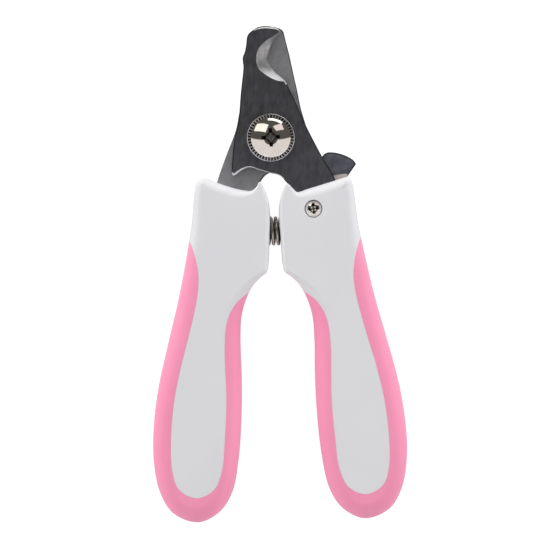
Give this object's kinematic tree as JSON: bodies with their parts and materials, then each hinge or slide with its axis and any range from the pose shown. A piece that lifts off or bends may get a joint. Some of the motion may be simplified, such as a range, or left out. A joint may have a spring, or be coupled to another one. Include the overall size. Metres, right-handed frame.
{
  "type": "pet nail trimmer",
  "caption": "Plier-type pet nail trimmer with crossed notched blades on one pivot, soft-edged handles, an opening spring and a thumb lock.",
  "frame": {"origin": "middle of the trimmer's length and width, on the surface that the handles' backs lie on", "axes": "+Y towards the blade tips, +Z out of the front, the side with the pivot's domed head, +X to the right as seen from the front"},
  "size_m": [0.068, 0.1323, 0.013],
  "materials": {
    "dark_blade_steel": "dark, finely brushed stainless steel",
    "grey_blade_steel": "grey, finely ground stainless steel",
    "white_plastic": "satin white moulded plastic",
    "pink_rubber": "matt pink overmoulded soft rubber",
    "bright_plate": "bright nickel plate",
    "spring_steel": "bright drawn spring wire"
  },
  "bodies": {
    "right_handle": {"right_handle_core": "white_plastic", "right_handle_grip": "pink_rubber", "front_blade": "dark_blade_steel", "pivot_bolt": "bright_plate", "pivot_toothed_washer": "bright_plate", "pivot_back_washer": "bright_plate", "pivot_nut": "bright_plate", "lock_screw": "bright_plate", "opening_spring": "spring_steel"},
    "left_handle": {"left_handle_core": "white_plastic", "left_handle_grip": "pink_rubber", "rear_blade": "grey_blade_steel"},
    "lock_lever": {"lock_lever": "dark_blade_steel"}
  },
  "joints": [
    {"name": "handle_pivot", "type": "hinge", "parent": "right_handle", "child": "left_handle", "pos_m": [-0.0005, 0.0362, 0.0065], "axis": [0, 0, -1], "range_deg": [-5, 26], "deforming": ["opening_spring"]},
    {"name": "lock_pivot", "type": "hinge", "parent": "right_handle", "child": "lock_lever", "pos_m": [0.0104, 0.0169, 0.0053], "axis": [0, 0, -1], "range_deg": [0, 18]}
  ]
}
